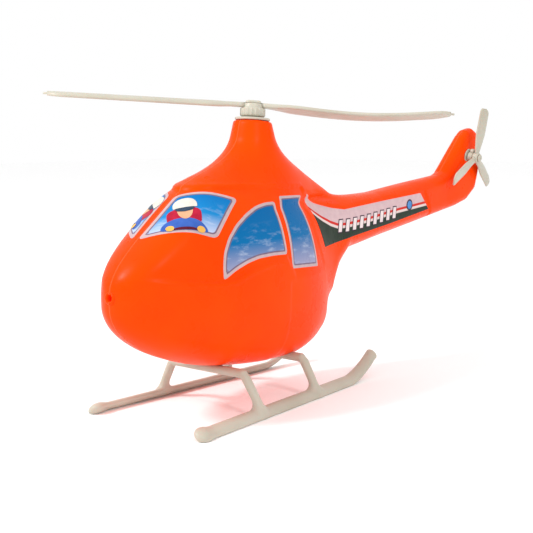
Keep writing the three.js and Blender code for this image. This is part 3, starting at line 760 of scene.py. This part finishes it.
def tail_blade():
    """One paddle of the tail rotor, cut square at its trailing corner."""
    rings = []
    for step in range(25):
        t = step / 24
        half = TAIL_BLADE["half_chord"] * (0.5 + 0.5 * float(smooth(0, 0.5, t)))
        tip = max(0.0, (t - 0.9) / 0.1)
        ahead = half * (1 - 0.75 * tip ** 2.2)
        behind = half * (1 - 0.3 * tip ** 3)
        pitch = TAIL_BLADE["pitch"] * float(smooth(0, 0.15, t))
        thickness = TAIL_BLADE["thickness"] - TAIL_BLADE["thinning"] * t
        reach = mix(TAIL_BLADE["root"], TAIL_RADIUS, t)
        rings.append(blade_ring(reach, ahead, behind, thickness, pitch, TAIL_SEAT - 0.3))
    return loft(rings)


def make_tail_rotor():
    profile = [(BORE, 6.0), (3.6, 6.0), (4.1, 6.6), (4.1, 9.6), (3.4, 10.2), (BORE, 10.2), (BORE, 6.0)]
    parts = [turned(rounded(profile, 0.3))]
    for turn in range(3):
        points, faces = tail_blade()
        parts.append((turned_about_z(points, turn * 2 * math.pi / 3), faces))
    points, faces = joined(parts)
    obj = link_mesh("tail_rotor_fine", moved(points, TAIL_PLACE), faces, CREAM)
    return ready(obj, "tail_rotor", "cream_plastic", "tail_rotor")


def make_nose_ring():
    """The raised ring round the hole in the nose, and the hole's blind inside."""
    profile = [(4.1, -1.2), (3.6, 0.25), (3.0, 0.75), (2.4, 0.8), (1.9, 0.3), (1.7, -1.0), (1.6, -4.0),
               (0.0, -4.2)]
    points, faces = turned(rounded(profile, 0.3), 40)
    place = basis((0, NOSE_Y + 0.35, NOSE_HOLE_Z), Vector((1, 0, 0)), Vector((0, -1, 0.09)).normalized())
    obj = link_mesh("nose_ring", moved(points, place), faces, ORANGE)
    return ready(obj, "airframe", "orange_plastic")


# ------------------------------------------------------------------ stickers

class Sheet:
    """A flat plane near the body's side; outlines drawn on it are pressed on to the body."""

    def __init__(self, corners, side):
        c = np.array([(x, NOSE_Y + s, z) for x, s, z in corners], float)
        n = np.cross(c, np.roll(c, -1, axis=0)).sum(0)
        n /= np.linalg.norm(n)
        if n[0] < 0:
            n = -n
        up = np.array([0, 0, 1.0]) - n[2] * n
        self.up = up / np.linalg.norm(up)
        self.across = np.cross(self.up, n)
        self.normal = n
        self.origin = c.mean(0)
        self.side = side

    def flat(self, point):
        d = np.array([point[0], NOSE_Y + point[1], point[2]]) - self.origin
        return (float(d @ self.across), float(d @ self.up))

    def press(self, flat, lift):
        """3-D points on the moulded surface under flat points, `lift` millimetres off it."""
        base = self.origin + flat[:, :1] * self.across + flat[:, 1:2] * self.up
        outside = np.full(len(base), 24.0)
        for _ in range(90):
            p = base + (outside - 0.5)[:, None] * self.normal
            outside = np.where(body_field(*p.T) > 0, outside - 0.5, outside)
        inside = outside - 0.5
        for _ in range(16):
            middle = (inside + outside) / 2
            out = body_field(*(base + middle[:, None] * self.normal).T) > 0
            outside = np.where(out, middle, outside)
            inside = np.where(out, inside, middle)
        p = base + outside[:, None] * self.normal
        p = p + normals(body_field, p) * (relief(p) + lift)[:, None]
        p[:, 0] *= self.side
        return p


def round_corners(corners, radius):
    """Replaces each corner of a closed outline by an arc that starts `radius` before it."""
    out = []
    count = len(corners)
    for i, here in enumerate(corners):
        here = np.array(here)
        before = np.array(corners[i - 1]) - here
        after = np.array(corners[(i + 1) % count]) - here
        reach_in = min(radius, np.linalg.norm(before) * 0.48)
        reach_out = min(radius, np.linalg.norm(after) * 0.48)
        a = here + before / np.linalg.norm(before) * reach_in
        b = here + after / np.linalg.norm(after) * reach_out
        for t in np.linspace(0, 1, 7):
            out.append(tuple((1 - t) ** 2 * a + 2 * t * (1 - t) * here + t * t * b))
    return out


def spaced(outline, step):
    """The outline with points no further apart than `step`."""
    out = []
    for i, here in enumerate(outline):
        after = outline[(i + 1) % len(outline)]
        count = max(1, math.ceil(math.dist(here, after) / step))
        for k in range(count):
            out.append((mix(here[0], after[0], k / count), mix(here[1], after[1], k / count)))
    return out


def film(name, sheet, outline, lift, material, cell=1.3, skirt=True):
    """One printed film: the outline filled with small triangles, pressed on the body."""
    rim = np.array(spaced(outline, cell))
    low, high = rim.min(0), rim.max(0)
    gu, gv = np.meshgrid(np.arange(low[0], high[0], cell), np.arange(low[1], high[1], cell))
    grid = np.stack([gu.ravel(), gv.ravel()], 1)
    grid = grid[outline_distance(rim, grid[:, 0], grid[:, 1]) < -0.45 * cell]
    flat = np.concatenate([rim, grid])
    edges = [(i, (i + 1) % len(rim)) for i in range(len(rim))]
    result = delaunay_2d_cdt([Vector(p) for p in flat], edges, [], 1, 1e-5)
    flat = np.array([tuple(p) for p in result[0]])
    faces = [tuple(f) for f in result[2]]
    depth = -outline_distance(rim, flat[:, 0], flat[:, 1])
    points = sheet.press(flat, lift)
    if skirt:
        points, flat, depth, faces = with_skirt(sheet, points, flat, depth, faces, lift)
    if sheet.side < 0:
        faces = [f[::-1] for f in faces]
    obj = link_mesh(name, points, faces, material)
    store(obj, flat, depth, low, high)
    return obj


def with_skirt(sheet, points, flat, depth, faces, lift):
    """Turns the film's rim down to the body, so that it has an edge."""
    uses = {}
    for face in faces:
        for k, here in enumerate(face):
            pair = (face[k - 1], here)
            uses.setdefault(tuple(sorted(pair)), []).append(pair)
    border = [pairs[0] for pairs in uses.values() if len(pairs) == 1]
    at_rim = sorted({i for pair in border for i in pair})
    top = {i: len(points) + k for k, i in enumerate(at_rim)}
    foot = {i: len(points) + len(at_rim) + k for k, i in enumerate(at_rim)}
    down = sheet.press(flat[at_rim], lift - 0.3)
    wall = [(top[b], top[a], foot[a], foot[b]) for a, b in border]
    points = np.concatenate([points, points[at_rim], down])
    flat = np.concatenate([flat, flat[at_rim], flat[at_rim]])
    depth = np.concatenate([depth, depth[at_rim], depth[at_rim]])
    return points, flat, depth, faces + wall


def store(obj, flat, depth, low, high):
    """Keeps each point's place on the sheet (0 to 1 up it) and its depth in from the rim for the print."""
    place = obj.data.attributes.new("flat", "FLOAT_VECTOR", "POINT")
    height = high[1] - low[1]
    across = (flat[:, 0] - low[0]) / height
    up = (flat[:, 1] - low[1]) / height
    place.data.foreach_set("vector", np.stack([across, up, np.zeros(len(flat))], 1).ravel())
    rim = obj.data.attributes.new("rim", "FLOAT", "POINT")
    rim.data.foreach_set("value", depth)


# Port-side outlines as (x, station, height) corners.
QUARTER = [(25.9, 104.2, 118.2), (29.5, 105, 104), (33.8, 105.6, 88.2), (34, 92.5, 88.6), (34, 80, 88.2),
           (34, 71, 86.6), (33.4, 62, 83.6), (32.8, 52.4, 78.8), (31.8, 52.9, 87), (31.2, 54.6, 93.9),
           (30.3, 59.4, 101.4), (29.1, 67.0, 108.0), (28.0, 76.5, 113.2), (26.9, 86.5, 116.9),
           (26.2, 95, 118.2)]
REAR = [(24.2, 109.4, 121.0), (23.6, 134.4, 120.4), (27.2, 137.8, 100), (29, 141.4, 77.3),
        (34.1, 109.6, 79.4)]
PANE_SHIFT = 4.0              # the starboard windscreen is stuck this much further from the middle
FRONT = [(0.9, 47.6, 124.3), (23.6, 74.4, 122.2), (28.8, 51.6, 101.4), (0.6, 19.4, 102.0)]
STRIPE = [(21.8, 143.5, 120.6), (22.4, 150, 103), (22.3, 156.7, 86.8), (20.2, 171, 87.6),
          (15.9, 191.3, 89.1), (12.3, 244.3, 94.1), (9.4, 301.2, 100.8), (10.2, 288.2, 113.2),
          (11.5, 239.1, 110.8), (14.4, 187.8, 107.9), (12.5, 174.2, 109.6), (17.5, 158, 114.2),
          (19.4, 150, 118.0)]
CORNER_RADIUS = {"quarter_window": 2.6, "rear_window": 1.4, "windscreen": 3.4, "boom_stripe": 0.8}
SIDES = (("port", 1), ("starboard", -1))


def make_windows():
    for name, side in SIDES:
        for kind, corners in (("quarter_window", QUARTER), ("rear_window", REAR)):
            sheet = Sheet(corners, side)
            outline = round_corners([sheet.flat(c) for c in corners], CORNER_RADIUS[kind])
            obj = film(f"{name}_{kind}_film", sheet, outline, FILM_LIFT, SIDE_SKY)
            ready(obj, "airframe", "window_print", f"{name}_{kind}")


INKS = {
    "helmet_ink": (rgb(212, 207, 198), rgb(200, 194, 184)),
    "visor_ink": (rgb(46, 60, 78), rgb(58, 74, 92)),
    "face_ink": (rgb(214, 164, 128), rgb(206, 154, 118)),
    "jacket_ink": (rgb(62, 98, 176), rgb(54, 88, 164)),
    "seat_ink": (rgb(176, 34, 58), rgb(160, 28, 52)),
    "glove_ink": (rgb(226, 176, 90), rgb(216, 164, 80)),
    "wheel_ink": (rgb(92, 28, 44), rgb(82, 24, 40)),
}
INK = {name: flat_print(name, *pair) for name, pair in INKS.items()}


# A plain faceless pilot: seat back, jacket, head, helmet, visor, hands on a wheel. Each shape is
# (ink, outline) on the windscreen's sheet, later ones on top.
PILOT = [
    ("seat_ink", ellipse(-5.2, -3.6, 9.6, 6.2, 0.6)),
    ("jacket_ink", round_corners([(-19.5, -12.4), (-16.8, -6.8), (-10.2, -4.4), (-1.6, -4.8), (4.6, -7.4),
                                  (8.6, -13.0)], 3.4)),
    ("face_ink", ellipse(-4.6, 1.2, 4.3, 6.6)),
    ("helmet_ink", ellipse(-4.3, 4.2, 6.6, 6.0, 0.9, start=-12, sweep=204)),
    ("visor_ink", round_corners([(-10.2, 2.9), (-9.2, 0.6), (-5.0, -0.4), (-0.4, 0.4), (1.2, 2.9)], 1.2)),
    ("wheel_ink", ellipse(-5.2, -12.6, 7.0, 1.7, 0.8, start=0, sweep=180)),
    ("glove_ink", ellipse(-13.6, -11.2, 2.3, 1.8)),
    ("glove_ink", ellipse(3.4, -11.8, 2.3, 1.8)),
]


def make_windscreens():
    for name, side in SIDES:
        shift = 0 if side > 0 else PANE_SHIFT
        sheet = Sheet(FRONT, side)
        corners = [(x + (shift if x < 5 else 0), station, z) for x, station, z in FRONT]
        outline = round_corners([sheet.flat(c) for c in corners], CORNER_RADIUS["windscreen"])
        obj = film(f"{name}_windscreen_film", sheet, outline, FILM_LIFT, FRONT_SKY)
        ready(obj, "airframe", "window_print", f"{name}_windscreen")
        for order, (ink, shape) in enumerate(PILOT):
            lift = ART_LIFT + 0.05 * order
            art = film(f"{name}_pilot_{order}", sheet, shape, lift, INK[ink], skirt=False)
            ready(art, "airframe", "window_print")


def stripe_print():
    """The boom's bands: dark green, a white line, a red line, then pinkish white above."""
    n = Nodes("boom_bands")
    _, rim = sticker_place(n)
    level = n.add("ShaderNodeAttribute", attribute_name="band").outputs["Fac"]
    tone = n.span(n.noise(260, 3), 0.35, 0.65)
    upper = n.blend(tone, rgb(204, 176, 178), rgb(197, 168, 172))
    green = n.blend(tone, rgb(44, 56, 44), rgb(38, 49, 40))
    color = n.blend(n.span(level, 0.0, 0.15), green, rgb(214, 196, 192))
    color = n.blend(n.span(level, 1.0, 1.15), color, rgb(196, 44, 34))
    color = n.blend(n.span(level, 2.0, 2.15), color, upper)
    return print_finish(n, color, rim)


def make_stripes():
    material = stripe_print()
    ink_light = flat_print("bar_light_ink", rgb(228, 214, 212), rgb(216, 200, 202))
    ink_dark = flat_print("bar_dark_ink", rgb(66, 44, 62), rgb(56, 38, 54))
    ink_badge = flat_print("badge_ink", rgb(84, 140, 196), rgb(70, 124, 184))
    for name, side in SIDES:
        sheet = Sheet(STRIPE, side)
        outline = round_corners([sheet.flat(c) for c in STRIPE], CORNER_RADIUS["boom_stripe"])
        obj = film(f"{name}_boom_stripe_film", sheet, outline, FILM_LIFT, material, cell=1.0)
        band_heights(obj)
        ready(obj, "airframe", "stripe_print", f"{name}_boom_stripe")
        for order, (ink, shape) in enumerate(boom_bars(sheet, ink_light, ink_dark, ink_badge)):
            lift = ART_LIFT + 0.06 * (order % 2)
            art = film(f"{name}_boom_bar_{order}", sheet, shape, lift, ink, skirt=False)
            ready(art, "airframe", "stripe_print")


# The top of the green band, as (station, height); the white and red lines follow it.
BAND_LINE = [(140, 112), (151.7, 105.2), (158, 102.2), (168, 98.5), (178, 96.0), (190, 95.8), (214, 97.2),
             (255, 100.8), (300, 103.6)]
BAND_STEP = 1.7
BARS = {"count": 9, "first": 180, "last": 250, "half_height": 3.8}     # stations of the first and last
BADGE_CENTRE = (11, 272, 105.6)


def band_heights(obj):
    """Height over the green band's top in line widths, for the bands of the print."""
    co = np.empty(len(obj.data.vertices) * 3)
    obj.data.vertices.foreach_get("co", co)
    p = co.reshape(-1, 3) / MM
    height = (p[:, 2] - line_at(BAND_LINE, p[:, 1] - NOSE_Y)) / BAND_STEP
    attribute = obj.data.attributes.new("band", "FLOAT", "POINT")
    attribute.data.foreach_set("value", height)


def boom_bars(sheet, light, dark, badge):
    """Plain slanted bars along the boom and a small round badge, in place of any lettering."""
    shapes = []
    half = BARS["half_height"]
    for i in range(BARS["count"]):
        station = mix(BARS["first"], BARS["last"], i / (BARS["count"] - 1))
        middle = line_at(BAND_LINE, station) + 1.3
        for grow, ink in ((0.7, dark), (0.0, light)):
            corners = [(-2.4 - grow, -half - grow), (1.6 + grow, -half - grow), (2.8 + grow, half + grow),
                       (-1.2 - grow, half + grow)]
            shapes.append((ink, [sheet.flat((13, station + a, middle + b)) for a, b in corners]))
    centre = sheet.flat(BADGE_CENTRE)
    shapes.append((dark, ellipse(*centre, 4.4, 4.0)))
    shapes.append((badge, ellipse(*centre, 3.2, 2.9)))
    return shapes


# ------------------------------------------------------------------ assembly

make_body()
make_nose_ring()
make_carriage()
make_main_rotor()
make_rotor_cap()
make_tail_rotor()
make_turned("rotor_washer_fine", "rotor_washer",
            [(2.1, 0.3), (9.4, 0.3), (10.4, 0.5), (10.4, 1.7), (9.8, 1.9), (4.2, 2.0), (2.1, 2.2),
             (2.1, 0.3)],
            ROTOR_PLACE)
make_turned("tail_bush_fine", "tail_bush",
            [(BORE, -5.0), (2.7, -5.0), (2.7, 1.9), (3.8, 1.9), (3.4, 4.2), (3.2, 5.6), (BORE, 5.6),
             (BORE, -5.0)],
            TAIL_PLACE, lug=bush_lug())
make_turned("tail_washer_fine", "tail_washer",
            [(3.0, 0.6), (5.4, 0.6), (5.8, 0.9), (5.8, 1.2), (5.2, 1.7), (3.0, 1.7), (3.0, 0.6)], TAIL_PLACE)
make_turned("tail_pin_fine", "tail_pin",
            [(0.0, -5.0), (AXLE_RADIUS, -5.0), (AXLE_RADIUS, 10.5), (3.0, 10.5), (3.0, 11.3), (1.8, 12.0),
             (0.9, 12.2), (0.7, 11.4), (0.0, 11.3)], TAIL_PLACE)
make_windows()
make_windscreens()
make_stripes()

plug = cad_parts["mast_plug"]
plug.data.materials.clear()
plug.data.materials.append(CREAM)


# ------------------------------------------------------------------ floor, light and camera

FLOOR_WIDTH = 9000
FLOOR_FRONT = -3500
FLOOR_DEPTH = 8000

# Metres and degrees.
CAMERA_PLACE = (0.3843, -0.53375, 0.1554)
CAMERA_TURN = {"azimuth": 39.7, "pitch": 7.5, "roll": -0.4}
SENSOR = 36
LENS = 67.5422


def make_floor():
    """A large flat sheet of white paper."""
    points, faces = [], []
    columns, rows = 9, 14
    for j in range(rows):
        t = j / (rows - 1)
        for i in range(columns):
            points.append(((i / (columns - 1) - 0.5) * FLOOR_WIDTH, FLOOR_FRONT + FLOOR_DEPTH * t, 0))
    for j in range(rows - 1):
        for i in range(columns - 1):
            a = j * columns + i
            faces.append((a, a + 1, a + columns + 1, a + columns))
    obj = link_mesh("floor_sheet", points, faces, floor_material())


def add_light(name, place, target, size, watts):
    data = bpy.data.lights.new(name, "AREA")
    data.shape = "DISK"
    data.size = size
    data.energy = watts
    obj = bpy.data.objects.new(name, data)
    obj.location = place
    obj.rotation_euler = (Vector(target) - Vector(place)).to_track_quat("-Z", "Y").to_euler()
    bpy.context.scene.collection.objects.link(obj)


def set_world(level):
    world = bpy.data.worlds.new("studio")
    world.use_nodes = True
    background = world.node_tree.nodes["Background"]
    background.inputs["Color"].default_value = (1, 1, 1, 1)
    background.inputs["Strength"].default_value = level
    bpy.context.scene.world = world


def set_camera():
    az, pitch, roll = (math.radians(CAMERA_TURN[key]) for key in ("azimuth", "pitch", "roll"))
    right = Vector((math.cos(az), math.sin(az), 0))
    look = Vector((-math.sin(az) * math.cos(pitch), math.cos(az) * math.cos(pitch), -math.sin(pitch)))
    up = right.cross(look)
    rolled_right = right * math.cos(roll) + up * math.sin(roll)
    rolled_up = up * math.cos(roll) - right * math.sin(roll)
    data = bpy.data.cameras.new("camera")
    data.sensor_width = SENSOR
    data.lens = LENS
    data.clip_start = 0.01
    data.clip_end = 50
    obj = bpy.data.objects.new("camera", data)
    obj.matrix_world = placing(rolled_right, rolled_up, -look, CAMERA_PLACE)
    bpy.context.scene.collection.objects.link(obj)
    bpy.context.scene.camera = obj


make_floor()
set_world(1.0)
add_light("key", (-0.5, -1.0, 1.0), (0, -0.05, 0.08), 0.25, 12)
add_light("fill", (1.2, -0.5, 0.9), (0, 0, 0.08), 0.3, 5)
set_camera()
bpy.context.scene.view_settings.view_transform = "Standard"

bpy.context.view_layer.update()
